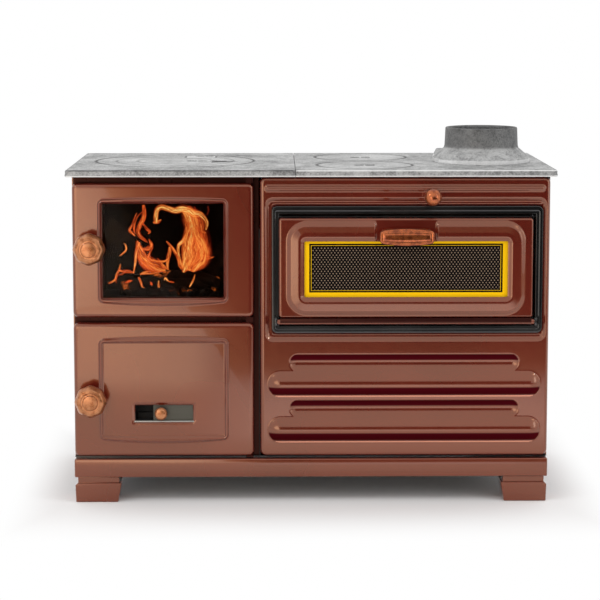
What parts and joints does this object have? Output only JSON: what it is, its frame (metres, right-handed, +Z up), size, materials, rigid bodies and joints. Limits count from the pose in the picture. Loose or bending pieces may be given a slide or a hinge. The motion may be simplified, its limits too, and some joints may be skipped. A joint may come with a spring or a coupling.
{
  "type": "wood-fired cookstove",
  "caption": "Low enamelled wood cookstove with a glazed firebox door, ash door, drop-down oven door, cast iron hob with rings and a flue collar.",
  "frame": {"origin": "on the floor, below the centre of the bounding box", "axes": "+X to the right along the width, +Y from the front to the back, +Z up"},
  "size_m": [0.83, 0.438, 0.6313],
  "materials": {
    "enamel": "glossy vitreous enamel, copper brown",
    "black_enamel": "glossy vitreous enamel, black",
    "hob_iron": "rough ground casting, light grey",
    "dark_iron": "rough, heat-darkened",
    "copper": "satin copper lacquer",
    "steel": "brushed",
    "fire_glass": "clear heat-proof glass",
    "oven_glass": "printed black with a yellow border",
    "rope": "braided mineral rope",
    "firebrick": "rough fireclay"
  },
  "bodies": {
    "cabinet": {"foot_front_left": "enamel", "foot_rear_left": "enamel", "foot_front_right": "enamel", "foot_rear_right": "enamel", "plinth_front": "enamel", "plinth_rear": "enamel", "plinth_left": "enamel", "plinth_right": "enamel", "base_plate": "black_enamel", "side_panel_left": "enamel", "side_panel_right": "enamel", "back_panel": "black_enamel", "partition": "dark_iron", "front_casting": "dark_iron", "hinge_lug_top": "dark_iron", "hinge_lug_middle": "dark_iron", "hinge_lug_bottom": "dark_iron", "oven_panel": "enamel", "oven_frame": "black_enamel", "oven_box": "black_enamel", "oven_runner_left": "steel", "oven_runner_right": "steel", "oven_rack": "steel", "oven_hinge_pin_left": "steel", "oven_hinge_pin_right": "steel", "hob_left": "hob_iron", "hob_right": "hob_iron", "flue_collar": "hob_iron", "fire_shelf": "dark_iron", "fire_grate": "dark_iron", "firebrick_left": "firebrick", "firebrick_right": "firebrick", "firebrick_back": "firebrick", "ash_drawer": "dark_iron"},
    "fire_door": {"fire_door_shell": "enamel", "fire_door_casting": "dark_iron", "fire_door_glass": "fire_glass", "fire_door_rope": "rope"},
    "fire_latch": {"fire_door_knob": "copper", "fire_door_cam": "dark_iron"},
    "ash_door": {"ash_door_shell": "enamel", "ash_door_casting": "dark_iron", "ash_door_rope": "rope"},
    "ash_latch": {"ash_door_knob": "copper", "ash_door_cam": "dark_iron"},
    "air_control": {"air_slider": "steel", "air_slider_knob": "copper"},
    "oven_door": {"oven_door_shell": "enamel", "oven_door_glass": "oven_glass", "oven_door_liner": "dark_iron", "oven_door_handle": "copper", "oven_hinge_rail": "enamel"},
    "damper": {"damper_plate": "dark_iron", "damper_rod": "steel", "damper_knob": "copper"},
    "outer_ring": {"large_ring_outer": "hob_iron"},
    "inner_ring": {"large_ring_inner": "hob_iron"},
    "centre_lid": {"large_lid": "hob_iron"},
    "front_lid": {"small_lid_front": "hob_iron"},
    "rear_lid": {"small_lid_rear": "hob_iron"}
  },
  "joints": [
    {"name": "fire_door_hinge", "type": "hinge", "parent": "cabinet", "child": "fire_door", "pos_m": [-0.105, -0.165, 0.434], "axis": [0, 0, 1], "range_deg": [0, 95]},
    {"name": "fire_latch_turn", "type": "hinge", "parent": "fire_door", "child": "fire_latch", "pos_m": [-0.373, -0.17, 0.44], "axis": [0, 1, 0], "range_deg": [0, 90]},
    {"name": "ash_door_hinge", "type": "hinge", "parent": "cabinet", "child": "ash_door", "pos_m": [-0.105, -0.165, 0.195], "axis": [0, 0, 1], "range_deg": [0, 95]},
    {"name": "ash_latch_turn", "type": "hinge", "parent": "ash_door", "child": "ash_latch", "pos_m": [-0.373, -0.17, 0.181], "axis": [0, 1, 0], "range_deg": [0, 90]},
    {"name": "air_slide", "type": "slide", "parent": "ash_door", "child": "air_control", "axis": [1, 0, 0], "range_m": [-0.033, 0.043]},
    {"name": "oven_door_hinge", "type": "hinge", "parent": "cabinet", "child": "oven_door", "pos_m": [0.16, -0.178, 0.3127], "axis": [1, 0, 0], "range_deg": [0, 90]},
    {"name": "damper_pull", "type": "slide", "parent": "cabinet", "child": "damper", "axis": [0, -1, 0], "range_m": [0, 0.055]},
    {"name": "outer_ring_lift", "type": "slide", "parent": "cabinet", "child": "outer_ring", "axis": [0, 0, 1], "range_m": [0, 0.06]},
    {"name": "inner_ring_lift", "type": "slide", "parent": "outer_ring", "child": "inner_ring", "axis": [0, 0, 1], "range_m": [0, 0.06]},
    {"name": "centre_lid_lift", "type": "slide", "parent": "inner_ring", "child": "centre_lid", "axis": [0, 0, 1], "range_m": [0, 0.06]},
    {"name": "front_lid_lift", "type": "slide", "parent": "cabinet", "child": "front_lid", "axis": [0, 0, 1], "range_m": [0, 0.06]},
    {"name": "rear_lid_lift", "type": "slide", "parent": "cabinet", "child": "rear_lid", "axis": [0, 0, 1], "range_m": [0, 0.06]}
  ]
}
